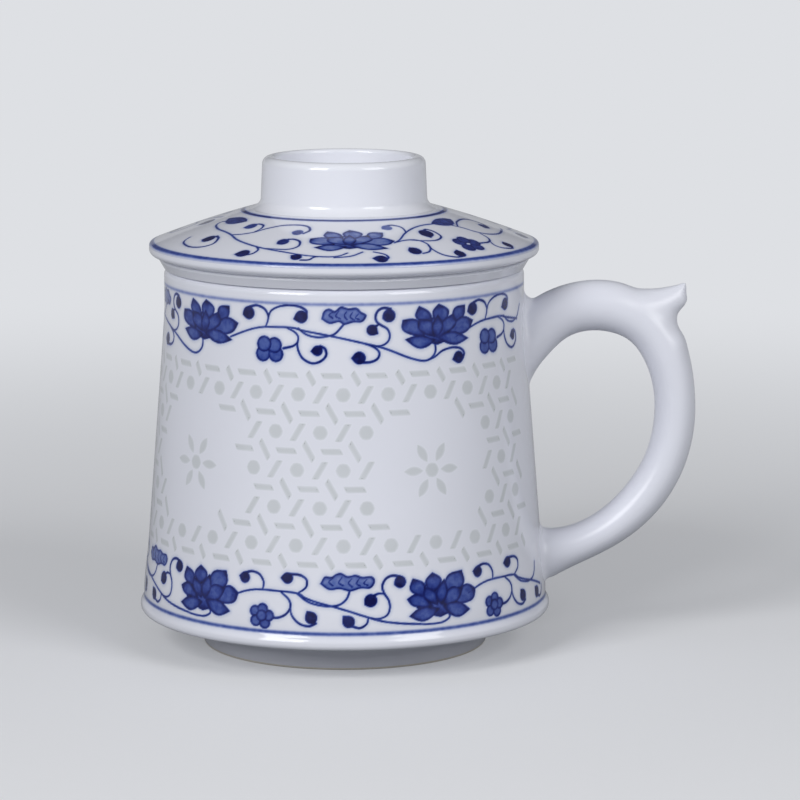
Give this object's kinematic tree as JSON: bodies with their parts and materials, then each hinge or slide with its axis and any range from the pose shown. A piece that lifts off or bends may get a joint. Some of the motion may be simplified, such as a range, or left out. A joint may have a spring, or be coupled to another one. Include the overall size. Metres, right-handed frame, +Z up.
{
  "type": "lidded infuser mug",
  "caption": "Porcelain tea mug with an ear handle, a hanging infuser cup and a domed lid with a hollow ring knob.",
  "frame": {"origin": "centre of the foot ring, on the surface that the mug stands on", "axes": "+Z up along the cup's axis, +X towards the handle, -Y towards the side that is seen with the handle on the right"},
  "size_m": [0.1305, 0.0964, 0.1144],
  "materials": {
    "cup_porcelain": "gloss",
    "window_glaze": "gloss",
    "handle_porcelain": "gloss",
    "infuser_porcelain": "gloss",
    "lid_porcelain": "gloss",
    "knob_porcelain": "gloss"
  },
  "bodies": {
    "cup": {"cup_body": "cup_porcelain", "handle": "handle_porcelain", "rosette_window_glaze": "window_glaze"},
    "infuser": {"infuser_cup": "infuser_porcelain"},
    "lid": {"lid_dome": "lid_porcelain", "lid_knob": "knob_porcelain"}
  },
  "joints": [
    {"name": "infuser_lift", "type": "slide", "parent": "cup", "child": "infuser", "axis": [0, 0, 1], "range_m": [0, 0.065]},
    {"name": "lid_lift", "type": "slide", "parent": "infuser", "child": "lid", "axis": [0, 0, 1], "range_m": [0, 0.03]}
  ]
}
